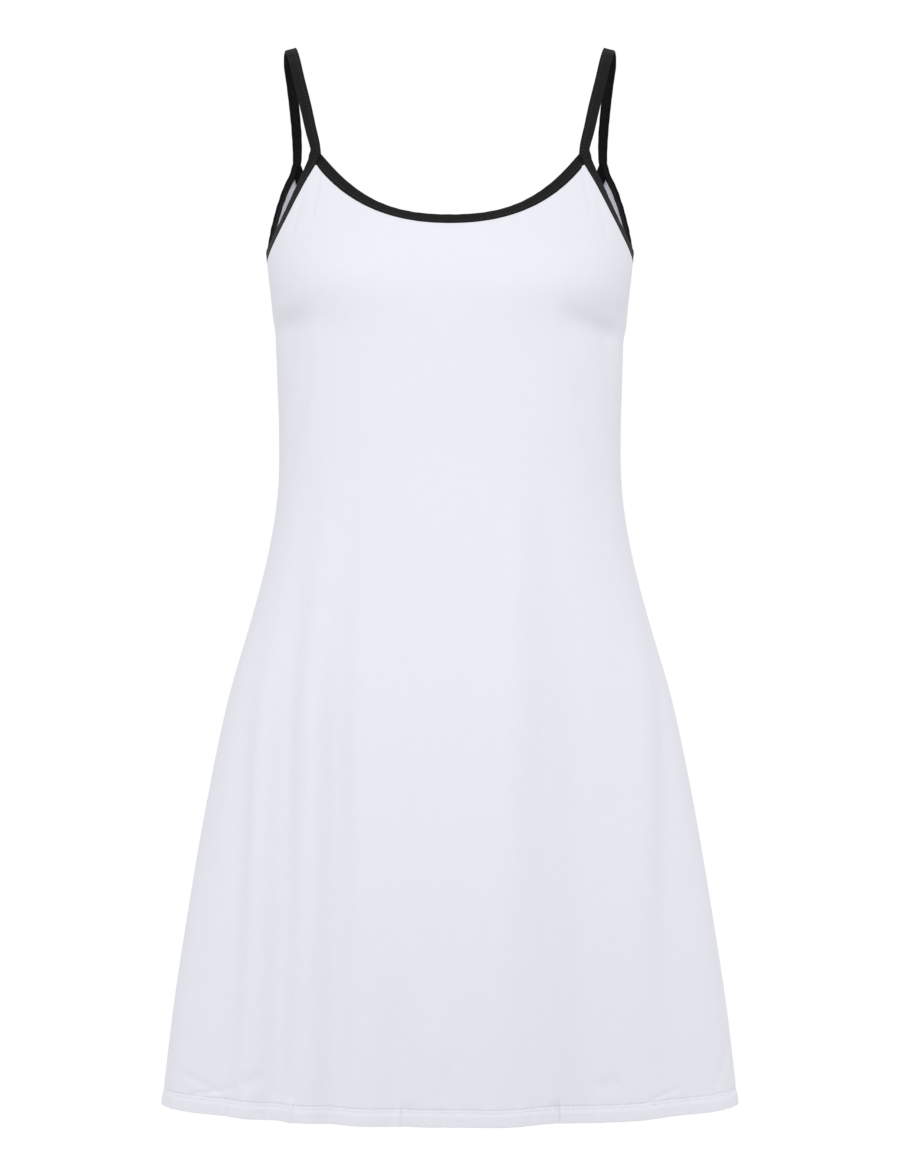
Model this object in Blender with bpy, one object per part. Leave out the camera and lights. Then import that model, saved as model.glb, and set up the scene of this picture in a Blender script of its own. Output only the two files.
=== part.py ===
"""A strappy tennis dress, held up at the shoulders and filled out, with nobody in it.

Metres, +Z up. The front faces -Y and the wearer's left side is +X. The origin lies midway between
the undersides of the two straps at the top of the shoulders.
"""

import math
from collections import namedtuple

import bmesh
import bpy
from mathutils import Vector

# The cloth: its wall, the turned-up hem, which is thicker, and the gap at the side seams
HEM_Z = -0.819
CLOTH_WALL = 0.0014
HEM_WALL = 0.0024
HEM_DEPTH = 0.0125
HEM_STEP = 0.0015
HEM_RAISE = 0.0004
SEAM_GAP = 0.0004

# The folded strips that bind the edges and make the straps. A strip tips in towards the body, by
# STRIP_TIP at most. Round the armhole it starts level at the side seam, has its full tip at this share
# of the way to the corner, and at the front loses it again over the last share.
STRIP_WIDTH = 0.0085
STRIP_THICK = 0.0022
STRIP_CHAMFER = 0.0005
BINDING_GAP = 0.0004
STRIP_END_GAP = 0.0003
STRIP_TIP = math.radians(18)
TIP_FULL = 0.9
TIP_FADE = 0.12

# How far a strip runs on past the corner before it bends, and how far it turns there to the strap
CORNER_RUN = 0.0100
CORNER_TURN = 0.35

# How finely the cloth and the straps are divided, and the small steps that a normal is measured over
PANEL_ROWS = 24
ROW_CROWDING = 1.25
STRAP_STEP = 0.0065
PROBE_ANGLE = math.radians(0.25)
PROBE_HEIGHT = 0.001
SHARP_ANGLE = math.radians(35)

# The ring of cloth at each height: half its width, how far it reaches ahead of and behind the side
# seams, and how square its front and back halves are (2 is an ellipse).
Section = namedtuple("Section", "z half_width front_depth back_depth front_square back_square")
SECTIONS = (
    Section(-0.060, 0.1385, 0.068, 0.078, 2.10, 2.40),
    Section(-0.097, 0.1405, 0.087, 0.090, 2.10, 2.45),
    Section(-0.120, 0.1420, 0.096, 0.095, 2.15, 2.45),
    Section(-0.143, 0.1428, 0.106, 0.098, 2.20, 2.40),
    Section(-0.165, 0.1422, 0.112, 0.098, 2.25, 2.35),
    Section(-0.190, 0.1395, 0.115, 0.096, 2.30, 2.30),
    Section(-0.215, 0.1373, 0.113, 0.092, 2.40, 2.30),
    Section(-0.255, 0.1348, 0.109, 0.085, 2.50, 2.30),
    Section(-0.310, 0.1329, 0.106, 0.080, 2.55, 2.35),
    Section(-0.350, 0.1346, 0.107, 0.083, 2.50, 2.35),
    Section(-0.396, 0.1424, 0.110, 0.093, 2.40, 2.30),
    Section(-0.443, 0.1548, 0.115, 0.105, 2.25, 2.20),
    Section(-0.505, 0.1728, 0.123, 0.117, 2.10, 2.10),
    Section(-0.583, 0.1892, 0.131, 0.129, 1.95, 2.00),
    Section(-0.661, 0.2027, 0.138, 0.138, 1.87, 1.90),
    Section(-0.740, 0.2150, 0.143, 0.146, 1.80, 1.85),
    Section(-0.819, 0.2245, 0.147, 0.152, 1.75, 1.80),
)

# Soft fullness and tucks on each side of the front: where they lie, how far they spread across and
# up, and how far they stand out (or in, where negative). They fade to nothing at the side seams.
Fullness = namedtuple("Fullness", "x z spread_x spread_z depth")
FRONT_FULLNESS = (
    Fullness(0.084, -0.180, 0.046, 0.030, 0.0075),
    Fullness(0.116, -0.214, 0.036, 0.015, -0.0048),
)
FULLNESS_FADE = 2.5

# Flutes of the skirt: the height where each starts, how far round the dress it lies there and at the
# hem in degrees (0 is the front centre, 90 the wearer's left side, 180 the back centre), its spread
# in degrees, and how far it stands out (or in, where negative) once it is full. A flute bends most
# near its top, and is full when its height times FLUTE_GROWTH reaches the hem.
Flute = namedtuple("Flute", "top_z top_round hem_round spread depth")
FLUTES = (
    Flute(-0.58, -84, -70, 8.0, 0.0020),
    Flute(-0.42, -84, -52, 6.0, -0.0035),
    Flute(-0.42, -74, -42, 5.5, 0.0035),
    Flute(-0.33, -60, -38, 5.0, -0.0032),
    Flute(-0.30, -50, -30, 5.5, 0.0035),
    Flute(-0.34, -37, -26, 5.0, -0.0025),
    Flute(-0.34, -28, -18, 5.5, 0.0028),
    Flute(-0.70, -11, -10, 3.5, -0.0018),
    Flute(-0.70, -5, -4, 3.5, 0.0015),
    Flute(-0.28, 24, 9, 6.5, 0.0042),
    Flute(-0.28, 38, 22, 6.5, -0.0048),
    Flute(-0.40, 72, 39, 7.0, 0.0042),
    Flute(-0.40, 85, 50, 6.5, -0.0040),
    Flute(-0.58, 82, 66, 8.0, 0.0026),
    Flute(-0.48, 102, 108, 8.0, 0.0045),
    Flute(-0.42, 112, 121, 6.5, -0.0050),
    Flute(-0.40, 122, 134, 7.0, 0.0050),
    Flute(-0.34, 135, 148, 6.5, -0.0055),
    Flute(-0.42, 154, 163, 7.5, 0.0048),
    Flute(-0.38, 174, 178, 6.5, -0.0050),
    Flute(-0.46, 192, 191, 6.5, 0.0042),
    Flute(-0.34, 210, 204, 6.5, -0.0055),
    Flute(-0.38, 228, 218, 7.0, 0.0052),
    Flute(-0.44, 242, 232, 6.0, -0.0045),
    Flute(-0.48, 256, 248, 8.0, 0.0042),
)
FLUTE_BEND = 1.9
FLUTE_GROWTH = 2.0

# The cut of each panel's upper edge: the corner where the strap starts, the lowest point of the
# neck, how round the scoop is, how the armhole curves away from the side seam and into the corner,
# and how many columns of cloth lie below one armhole and below the neck.
Cut = namedtuple("Cut", "corner corner_z neck_z neck_round arm_low arm_high arm_columns neck_columns")
FRONT_CUT = Cut(math.radians(46.3), -0.0946, -0.1431, 0.49, 2.8, 1.2, 10, 26)
BACK_CUT = Cut(math.radians(57.1), -0.0930, -0.1900, 0.35, 1.85, 1.2, 8, 30)
SIDE_SEAM_Z = -0.1653

# The strap's centre line from the front corner, over the shoulder, to the back corner, and how far
# its face leans to the side, in degrees.
StrapPoint = namedtuple("StrapPoint", "x y z lean")
STRAP_ROUTE = (
    StrapPoint(0.1048, -0.0525, -0.0770, 30),
    StrapPoint(0.1073, -0.0465, -0.0640, 18),
    StrapPoint(0.1114, -0.0390, -0.0460, 12),
    StrapPoint(0.1167, -0.0285, -0.0250, 12),
    StrapPoint(0.1213, -0.0160, -0.0080, 14),
    StrapPoint(0.1243, 0.0000, 0.0011, 18),
    StrapPoint(0.1250, 0.0150, -0.0070, 28),
    StrapPoint(0.1243, 0.0270, -0.0240, 38),
    StrapPoint(0.1228, 0.0360, -0.0460, 44),
    StrapPoint(0.1208, 0.0420, -0.0640, 48),
)
SHOULDER_AXIS = Vector((0.0, -0.004, -0.060))

# Each cloth's name, colour and roughness
WHITE_CLOTH = ("white_jersey", (0.86, 0.86, 0.90, 1.0), 0.75)
BLACK_CLOTH = ("black_binding", (0.018, 0.019, 0.020, 1.0), 0.70)


def blank_scene():
    for obj in list(bpy.data.objects):
        bpy.data.objects.remove(obj)


def collection_for(name):
    collection = bpy.data.collections.new(name)
    bpy.context.scene.collection.children.link(collection)
    return collection


def cloth_material(name, colour, roughness):
    material = bpy.data.materials.new(name)
    material.use_nodes = True
    shader = material.node_tree.nodes["Principled BSDF"]
    shader.inputs["Base Color"].default_value = colour
    shader.inputs["Roughness"].default_value = roughness
    shader.inputs["Metallic"].default_value = 0.0
    return material


def eased(share):
    """0 below 0, 1 above 1, and a smooth rise between."""
    share = min(1.0, max(0.0, share))
    return share * share * (3.0 - 2.0 * share)


def section_at(z):
    """The ring of cloth at height z, on a smooth curve through the rows of SECTIONS."""
    last = len(SECTIONS) - 1
    row = next((k for k in range(last) if z >= SECTIONS[k + 1].z), last - 1)
    before, start = SECTIONS[max(row - 1, 0)], SECTIONS[row]
    end, after = SECTIONS[row + 1], SECTIONS[min(row + 2, last)]
    span = end.z - start.z
    t = (z - start.z) / span
    found = []
    for a, b, c, d in zip(before, start, end, after):
        leave = (c - a) / (end.z - before.z) * span
        arrive = (d - b) / (after.z - start.z) * span
        rise = (2 * t**3 - 3 * t**2 + 1) * b + (3 * t**2 - 2 * t**3) * c
        found.append(rise + (t**3 - 2 * t**2 + t) * leave + (t**3 - t**2) * arrive)
    return Section(*found)


def flute_depth(round_dress, z):
    """How far the skirt's flutes push the cloth out, at an angle round the dress in degrees."""
    total = 0.0
    for flute in FLUTES:
        share = (flute.top_z - z) / (flute.top_z - HEM_Z)
        if share <= 0.0:
            continue
        middle = flute.hem_round + (flute.top_round - flute.hem_round) * (1.0 - min(share, 1.0)) ** FLUTE_BEND
        away = (round_dress - middle + 180.0) % 360.0 - 180.0
        total += flute.depth * eased(FLUTE_GROWTH * share) * math.exp(-((away / flute.spread) ** 2))
    return total


def front_fullness(x, z, ahead):
    """How far the bust's fullness and the tucks below it push the front out."""
    total = 0.0
    for part in FRONT_FULLNESS:
        across = (abs(x) - part.x) / part.spread_x
        up = (z - part.z) / part.spread_z
        total += part.depth * math.exp(-(across**2) - up**2)
    return total * eased(FULLNESS_FADE * ahead)


def surface(angle, z):
    """The point of the cloth's outer face at an angle round the dress and a height."""
    ring = section_at(z)
    side, ahead = math.sin(angle), math.cos(angle)
    depth = ring.front_depth if ahead >= 0 else ring.back_depth
    square = ring.front_square if ahead >= 0 else ring.back_square
    reach = (abs(side) ** square + abs(ahead) ** square) ** (-1.0 / square)
    x, y = ring.half_width * reach * side, -depth * reach * ahead
    out = Vector((x / ring.half_width**2, y / depth**2, 0.0)).normalized()
    across = math.degrees(math.asin(max(-1.0, min(1.0, reach * side))))
    round_dress = across if ahead >= 0 else 180.0 - across
    push = flute_depth(round_dress, z) + front_fullness(x, z, ahead)
    return Vector((x, y, z)) + out * push


def surface_normal(angle, z):
    """The direction that the cloth's outer face looks in."""
    round_it = surface(angle + PROBE_ANGLE, z) - surface(angle - PROBE_ANGLE, z)
    up_it = surface(angle, z + PROBE_HEIGHT) - surface(angle, z - PROBE_HEIGHT)
    return round_it.cross(up_it).normalized()


def neck_edge(cut, share):
    """(angle from the panel's centre, height) of the neck edge; share runs from -1 to 1, corner to corner."""
    angle = share * cut.corner
    across = abs(math.sin(angle)) / math.sin(cut.corner)
    rise = cut.neck_round * across**2 + (1.0 - cut.neck_round) * across**3
    return angle, cut.neck_z + (cut.corner_z - cut.neck_z) * rise


def armhole_edge(cut, share):
    """The same for the armhole edge; share runs from 0 at the side seam to 1 at the corner."""
    angle = math.pi / 2 - share * (math.pi / 2 - cut.corner)
    rise = 1.0 - (1.0 - share**cut.arm_low) ** cut.arm_high
    return angle, SIDE_SEAM_Z + (cut.corner_z - SIDE_SEAM_Z) * rise


def upper_edge(cut):
    """The panel's whole upper edge, from one side seam to the other, as (angle from its centre, height)."""
    side = [armhole_edge(cut, k / cut.arm_columns) for k in range(cut.arm_columns + 1)]
    neck = [neck_edge(cut, 2.0 * k / cut.neck_columns - 1.0) for k in range(1, cut.neck_columns)]
    return [(-a, z) for a, z in side] + neck + side[::-1]


def row_heights(top_z):
    """The heights of a column's rows, close together at the bust, with the hem's step at the end."""
    hem_top = HEM_Z + HEM_DEPTH
    shares = [(k / PANEL_ROWS) ** ROW_CROWDING for k in range(PANEL_ROWS + 1)]
    above = [top_z + (hem_top + HEM_STEP - top_z) * share for share in shares]
    return above + [hem_top, HEM_Z + HEM_DEPTH / 2, HEM_Z]


def wall_points(centre_angle, angle, z, forward, at_seam):
    """The outer and inner points of one panel's wall, kept off the side seam from the other panel."""
    face = surface_normal(centre_angle + angle, z)
    if at_seam:
        face = Vector((face.x, 0.0, face.z)).normalized()
    in_hem = z <= HEM_Z + HEM_DEPTH
    outer = surface(centre_angle + angle, z) + Vector((0.0, forward * SEAM_GAP / 2, 0.0))
    if in_hem:
        outer += face * HEM_RAISE
    return outer, outer - face * (HEM_WALL if in_hem else CLOTH_WALL)


def panel(name, cut, centre_angle, forward, material, collection):
    """A panel of cloth: a wall lofted from its upper edge down to the hem, thicker where the hem turns up."""
    edge = upper_edge(cut)
    last = len(edge) - 1
    mesh = bmesh.new()
    outer, inner = [], []
    for column, (top_angle, top_z) in enumerate(edge):
        hem_angle = math.radians(180.0 * column / last - 90.0)
        walls = []
        for z in row_heights(top_z):
            share = (top_z - z) / (top_z - HEM_Z)
            angle = top_angle + (hem_angle - top_angle) * share
            walls.append(wall_points(centre_angle, angle, z, forward, column in (0, last)))
        outer.append([mesh.verts.new(wall[0]) for wall in walls])
        inner.append([mesh.verts.new(wall[1]) for wall in walls])
    for grid in (outer, inner):
        for left, right in zip(grid, grid[1:]):
            for k in range(len(left) - 1):
                mesh.faces.new((left[k], left[k + 1], right[k + 1], right[k]))
    for row in (0, -1):
        for k in range(last):
            mesh.faces.new((outer[k][row], outer[k + 1][row], inner[k + 1][row], inner[k][row]))
    for column in (0, last):
        for k in range(len(outer[0]) - 1):
            rim = (outer[column][k], outer[column][k + 1], inner[column][k + 1], inner[column][k])
            mesh.faces.new(rim)
    bmesh.ops.recalc_face_normals(mesh, faces=mesh.faces)
    return finished(name, mesh, material, collection)


Station = namedtuple("Station", "centre across out")


def strip_section(station):
    """The eight corners of a folded strip's chamfered section, in order round it."""
    half_width, half_thick = STRIP_WIDTH / 2, STRIP_THICK / 2
    inner_width, inner_thick = half_width - STRIP_CHAMFER, half_thick - STRIP_CHAMFER
    corners = (
        (half_width, inner_thick),
        (inner_width, half_thick),
        (-inner_width, half_thick),
        (-half_width, inner_thick),
        (-half_width, -inner_thick),
        (-inner_width, -half_thick),
        (inner_width, -half_thick),
        (half_width, -inner_thick),
    )
    return [station.centre + station.across * a + station.out * b for a, b in corners]


def along(points):
    """The direction of a line of points at each of them."""
    last = len(points) - 1
    return [(points[min(k + 1, last)] - points[max(k - 1, 0)]).normalized() for k in range(last + 1)]


def strip(name, stations, material, collection, closed=False, end_planes=()):
    """A folded strip swept through its stations; end_planes cut its two ends on a slant."""
    rings = [strip_section(station) for station in stations]
    if end_planes:
        runs = along([station.centre for station in stations])
        for ring, run, (point, normal) in (
            (rings[0], runs[0], end_planes[0]),
            (rings[-1], runs[-1], end_planes[1]),
        ):
            for k, corner in enumerate(ring):
                ring[k] = corner + run * ((point - corner).dot(normal) / run.dot(normal))
    mesh = bmesh.new()
    rings = [[mesh.verts.new(corner) for corner in ring] for ring in rings]
    pairs = list(zip(rings, rings[1:])) + ([(rings[-1], rings[0])] if closed else [])
    for first, second in pairs:
        for k in range(len(first)):
            n = (k + 1) % len(first)
            mesh.faces.new((first[k], first[n], second[n], second[k]))
    if not closed:
        mesh.faces.new(rings[0])
        mesh.faces.new(rings[-1][::-1])
    bmesh.ops.recalc_face_normals(mesh, faces=mesh.faces)
    return finished(name, mesh, material, collection)


def finished(name, mesh, material, collection):
    """A named object from a bmesh, with its material and smooth shading."""
    data = bpy.data.meshes.new(name)
    mesh.to_mesh(data)
    mesh.free()
    data.materials.append(material)
    data.shade_smooth()
    data.set_sharp_from_angle(angle=SHARP_ANGLE)
    obj = bpy.data.objects.new(name, data)
    collection.objects.link(obj)
    return obj


def edge_stations(places, tips):
    """Stations of a strip that lies beyond an edge of cloth.

    places are (angle round the dress, height), and tips say how far the strip tips in at each.
    """
    edge = [surface(angle, z) for angle, z in places]
    faces = [surface_normal(angle, z) for angle, z in places]
    middle = BINDING_GAP + STRIP_WIDTH / 2
    found = []
    for point, face, run, tip in zip(edge, faces, along(edge), tips):
        beyond = face.cross(run).normalized()
        if beyond.z < 0:
            beyond = -beyond
        across = beyond * math.cos(tip) - face * math.sin(tip)
        out = face * math.cos(tip) + beyond * math.sin(tip)
        found.append(Station(point - face * (CLOTH_WALL / 2) + across * middle, across, out))
    return found


def armhole_stations(side):
    """The strip's stations round one armhole, from the front corner to the back one; side is 1 or -1.

    Each end runs on past the corner for the length where the neck strip meets it.
    """
    front_shares = [k / FRONT_CUT.arm_columns for k in range(FRONT_CUT.arm_columns, -1, -1)]
    back_shares = [k / BACK_CUT.arm_columns for k in range(1, BACK_CUT.arm_columns + 1)]
    front = [armhole_edge(FRONT_CUT, share) for share in front_shares]
    back = [armhole_edge(BACK_CUT, share) for share in back_shares]
    places = [(side * a, z) for a, z in front] + [(side * (math.pi - a), z) for a, z in back]
    tips = [STRIP_TIP * eased(share / TIP_FULL) * eased((1.0 - share) / TIP_FADE) for share in front_shares]
    tips += [STRIP_TIP * eased(share / TIP_FULL) for share in back_shares]
    found = edge_stations(places, tips)
    ends = []
    for corner, near, strap in ((found[0], found[1], STRAP_ROUTE[0]), (found[-1], found[-2], STRAP_ROUTE[-1])):
        edge_run = (corner.centre - near.centre).normalized()
        strap_run = (Vector((side * strap.x, strap.y, strap.z)) - corner.centre).normalized()
        run = edge_run.lerp(strap_run, CORNER_TURN).normalized()
        out = (corner.out - run * corner.out.dot(run)).normalized()
        across = out.cross(run).normalized()
        if across.dot(corner.across) < 0:
            across = -across
        ends.append(Station(corner.centre + run * CORNER_RUN, across, out))
    return [ends[0]] + found + [ends[1]]


def curve_through(a, b, c, d, t):
    """A point between b and c on the smooth curve through four points."""
    return 0.5 * (2 * b + (c - a) * t + (2 * a - 5 * b + 4 * c - d) * t**2 + (3 * b - a - 3 * c + d) * t**3)


def strap_stations(side, armhole):
    """The strap's stations from the back corner over the shoulder to the front corner."""
    route = [Vector((side * p.x, p.y, p.z)) for p in STRAP_ROUTE][::-1]
    faces = []
    for point, row in zip(route, STRAP_ROUTE[::-1]):
        outward = Vector((0.0, point.y - SHOULDER_AXIS.y, point.z - SHOULDER_AXIS.z)).normalized()
        lean = math.radians(row.lean)
        faces.append(outward * math.cos(lean) + Vector((side * math.sin(lean), 0.0, 0.0)))
    points = [armhole[-2].centre, armhole[-1].centre] + route + [armhole[0].centre, armhole[1].centre]
    outs = [armhole[-2].out, armhole[-1].out] + faces + [armhole[0].out, armhole[1].out]
    centres, normals = [], []
    for k in range(1, len(points) - 2):
        steps = max(1, round((points[k + 1] - points[k]).length / STRAP_STEP))
        for step in range(steps):
            t = step / steps
            centres.append(curve_through(*points[k - 1 : k + 3], t))
            normals.append(curve_through(*outs[k - 1 : k + 3], t))
    found = []
    for centre, out, run in list(zip(centres, normals, along(centres + [armhole[0].centre])))[1:]:
        out = (out - run * out.dot(run)).normalized()
        across = out.cross(run).normalized()
        if across.x * side < 0:
            across = -across
        found.append(Station(centre, across, out))
    return found


def strap_strip(name, side, material, collection):
    """One strip that binds an armhole and goes on over the shoulder as the strap, sewn into a ring."""
    armhole = armhole_stations(side)
    return strip(name, armhole + strap_stations(side, armhole), material, collection, closed=True)


def neck_strip(name, cut, centre_angle, material, collection):
    """The strip that binds one neck edge, cut on a slant where it meets the strap strips."""
    shares = [2.0 * k / cut.neck_columns - 1.0 for k in range(cut.neck_columns + 1)]
    places = [(centre_angle + a, z) for a, z in (neck_edge(cut, share) for share in shares)]
    front = cut is FRONT_CUT
    planes = []
    for end in (-1, 1):
        armhole = armhole_stations(end if front else -end)
        corner, beyond = (armhole[1], armhole[0]) if front else (armhole[-2], armhole[-1])
        reach = STRIP_WIDTH / 2 + STRIP_END_GAP
        low, high = (station.centre - station.across * reach for station in (corner, beyond))
        normal = (high - low).cross(corner.out + beyond.out).normalized()
        if normal.dot(corner.across) < 0:
            normal = -normal
        planes.append((low, normal))
    tips = [STRIP_TIP] * len(places)
    return strip(name, edge_stations(places, tips), material, collection, end_planes=planes)


def build():
    blank_scene()
    dress = collection_for("tennis_dress")
    white = cloth_material(*WHITE_CLOTH)
    black = cloth_material(*BLACK_CLOTH)
    panel("front_panel", FRONT_CUT, 0.0, -1, white, dress)
    panel("back_panel", BACK_CUT, math.pi, 1, white, dress)
    neck_strip("neck_binding_front", FRONT_CUT, 0.0, black, dress)
    neck_strip("neck_binding_back", BACK_CUT, math.pi, black, dress)
    strap_strip("strap_and_armhole_left", 1, black, dress)
    strap_strip("strap_and_armhole_right", -1, black, dress)


build()
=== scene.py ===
# %% [markdown]
# # A strappy tennis dress
#
# The dress is white knitted jersey with black binding. It is shown filled out, as on a wearer, but
# with nobody in it. Two large panels of cloth make it, a front and a back, sewn together at the sides.
# Folded black strips bind the neck and the armholes, and go on over the shoulders as straps.
#
# This lesson builds the looks round a frame of plain solids that is loaded first. Each soft piece is
# a thin sheet that takes the place of one solid. All sizes are in metres, the front faces -Y, and
# the wearer's left side is +X.

# %% Load the frame
import math
from collections import namedtuple

import bpy
import numpy as np
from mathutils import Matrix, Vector


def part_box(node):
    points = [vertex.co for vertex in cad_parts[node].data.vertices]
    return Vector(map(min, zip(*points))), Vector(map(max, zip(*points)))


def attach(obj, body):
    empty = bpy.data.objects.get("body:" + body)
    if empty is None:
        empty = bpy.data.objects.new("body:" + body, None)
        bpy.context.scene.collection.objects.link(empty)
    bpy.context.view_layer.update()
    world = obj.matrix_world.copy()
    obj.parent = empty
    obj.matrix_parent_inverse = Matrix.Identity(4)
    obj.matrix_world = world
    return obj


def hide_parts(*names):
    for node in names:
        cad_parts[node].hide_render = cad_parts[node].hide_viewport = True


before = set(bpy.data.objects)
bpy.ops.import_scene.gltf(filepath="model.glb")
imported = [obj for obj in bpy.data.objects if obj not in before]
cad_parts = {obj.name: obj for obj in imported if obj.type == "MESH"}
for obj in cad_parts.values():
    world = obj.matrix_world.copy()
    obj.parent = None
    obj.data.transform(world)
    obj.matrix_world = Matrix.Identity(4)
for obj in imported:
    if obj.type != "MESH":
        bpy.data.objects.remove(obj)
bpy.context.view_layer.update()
print("frame nodes:", sorted(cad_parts))

# %% [markdown]
# ## The form of the dress
#
# Cloth is easiest to shape when one function says where any point of it lies. Here the dress is a
# stack of rings, one for each row of a short table, with smooth curves between them. A point is given
# by its angle round the dress and its height. The table repeats the sizes that the solids were made
# from, so that each sheet lies where its solid is.

# %% The rings, from the top of the armholes to the hem
HEM_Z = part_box("front_panel")[0][2]
Section = namedtuple("Section", "z half_width front_depth back_depth front_square back_square")
SECTIONS = (
    Section(-0.060, 0.1385, 0.068, 0.078, 2.10, 2.40),
    Section(-0.097, 0.1405, 0.087, 0.090, 2.10, 2.45),
    Section(-0.120, 0.1420, 0.096, 0.095, 2.15, 2.45),
    Section(-0.143, 0.1428, 0.106, 0.098, 2.20, 2.40),
    Section(-0.165, 0.1422, 0.112, 0.098, 2.25, 2.35),
    Section(-0.190, 0.1395, 0.115, 0.096, 2.30, 2.30),
    Section(-0.215, 0.1373, 0.113, 0.092, 2.40, 2.30),
    Section(-0.255, 0.1348, 0.109, 0.085, 2.50, 2.30),
    Section(-0.310, 0.1329, 0.106, 0.080, 2.55, 2.35),
    Section(-0.350, 0.1346, 0.107, 0.083, 2.50, 2.35),
    Section(-0.396, 0.1424, 0.110, 0.093, 2.40, 2.30),
    Section(-0.443, 0.1548, 0.115, 0.105, 2.25, 2.20),
    Section(-0.505, 0.1728, 0.123, 0.117, 2.10, 2.10),
    Section(-0.583, 0.1892, 0.131, 0.129, 1.95, 2.00),
    Section(-0.661, 0.2027, 0.138, 0.138, 1.87, 1.90),
    Section(-0.740, 0.2150, 0.143, 0.146, 1.80, 1.85),
    Section(-0.819, 0.2245, 0.147, 0.152, 1.75, 1.80),
)
print(len(SECTIONS), "rings down to the hem at", round(HEM_Z, 4))

# %% [markdown]
# A skirt that is cut wider than the body hangs in flutes. Each is a soft ridge or valley that starts
# near the waist or below it, wanders towards the front or back centre and is full long before the
# hem. The front's flutes follow the photograph, and the back has others like them. The swellings
# and hollows of the bodice are the fullness at the bust and the cloth falling in below it.

# %% The flutes and the fullness
Flute = namedtuple("Flute", "top_z top_round hem_round spread depth")
FLUTES = (
    Flute(-0.58, -84, -70, 8.0, 0.0010),
    Flute(-0.42, -70, -51, 5.5, -0.0038),
    Flute(-0.42, -62, -43, 5.0, 0.0036),
    Flute(-0.33, -58, -37, 4.6, -0.0056),
    Flute(-0.30, -48, -29, 5.0, 0.0056),
    Flute(-0.34, -37, -24.5, 4.2, -0.0058),
    Flute(-0.34, -28, -17, 5.0, 0.0055),
    Flute(-0.70, -11, -10, 3.5, -0.0018),
    Flute(-0.70, -5, -4, 3.5, 0.0015),
    Flute(-0.28, 24, 10, 5.8, 0.0066),
    Flute(-0.28, 37, 21, 5.8, -0.0078),
    Flute(-0.40, 72, 39, 7.0, 0.0042),
    Flute(-0.40, 85, 50, 6.5, -0.0034),
    Flute(-0.58, 82, 66, 8.0, 0.0014),
    Flute(-0.48, 102, 108, 8.0, 0.0045),
    Flute(-0.42, 112, 121, 6.5, -0.0050),
    Flute(-0.40, 122, 134, 7.0, 0.0050),
    Flute(-0.34, 135, 148, 6.5, -0.0055),
    Flute(-0.42, 154, 163, 7.5, 0.0048),
    Flute(-0.38, 174, 178, 6.5, -0.0050),
    Flute(-0.46, 192, 191, 6.5, 0.0042),
    Flute(-0.34, 210, 204, 6.5, -0.0055),
    Flute(-0.38, 228, 218, 7.0, 0.0052),
    Flute(-0.44, 242, 232, 6.0, -0.0045),
    Flute(-0.48, 256, 248, 8.0, 0.0042),
)
FLUTE_BEND = 1.9
FLUTE_GROWTH = 2.0

Fullness = namedtuple("Fullness", "x z spread_x spread_z depth")
FRONT_FULLNESS = (
    Fullness(0.084, -0.180, 0.046, 0.030, 0.0075),
    Fullness(0.116, -0.214, 0.034, 0.015, -0.0040),
    Fullness(-0.084, -0.180, 0.046, 0.031, 0.0070),
    Fullness(-0.118, -0.214, 0.030, 0.015, -0.0022),
)
FULLNESS_FADE = 2.5


def eased(share):
    """0 below 0, 1 above 1, and a smooth rise between."""
    share = np.clip(share, 0.0, 1.0)
    return share * share * (3.0 - 2.0 * share)


print(len(FLUTES), "flutes round the skirt")

# %% [markdown]
# The function below works on whole arrays at once, because a sheet has tens of thousands of points.
# The square value of a ring makes it an ellipse at 2, boxier above that and more pointed at the
# side seams below it.


# %% Where a point of the cloth lies
def smooth(knots, rows, at):
    """Values on a smooth curve through rows, which lie at the knots given."""
    at = np.asarray(at, float)
    row = np.clip(np.searchsorted(knots, at, side="right") - 1, 0, len(rows) - 2)
    before, after = np.maximum(row - 1, 0), np.minimum(row + 2, len(rows) - 1)
    span = knots[row + 1] - knots[row]
    t = ((at - knots[row]) / span)[..., None]
    leave = (rows[row + 1] - rows[before]) * (span / (knots[row + 1] - knots[before]))[..., None]
    arrive = (rows[after] - rows[row]) * (span / (knots[after] - knots[row]))[..., None]
    found = (2 * t**3 - 3 * t**2 + 1) * rows[row] + (3 * t**2 - 2 * t**3) * rows[row + 1]
    return found + (t**3 - 2 * t**2 + t) * leave + (t**3 - t**2) * arrive


def rings_at(z):
    """The ring's sizes at each height."""
    rows = np.array(SECTIONS)
    return Section(*np.moveaxis(smooth(-rows[:, 0], rows, -np.asarray(z, float)), -1, 0))


def flute_push(round_dress, z):
    """How far the flutes push the cloth out, at an angle round the dress in degrees."""
    total = np.zeros_like(z)
    for flute in FLUTES:
        share = (flute.top_z - z) / (flute.top_z - HEM_Z)
        bend = (1.0 - np.clip(share, 0.0, 1.0)) ** FLUTE_BEND
        middle = flute.hem_round + (flute.top_round - flute.hem_round) * bend
        away = (round_dress - middle + 180.0) % 360.0 - 180.0
        total += flute.depth * eased(FLUTE_GROWTH * share) * np.exp(-((away / flute.spread) ** 2))
    return total


def fullness_push(x, z, ahead):
    """How far the bust's fullness and the hollows below it push the front out."""
    total = np.zeros_like(z)
    for part in FRONT_FULLNESS:
        across, up = (x - part.x) / part.spread_x, (z - part.z) / part.spread_z
        total += part.depth * np.exp(-(across**2) - up**2)
    return total * eased(FULLNESS_FADE * ahead)


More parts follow.
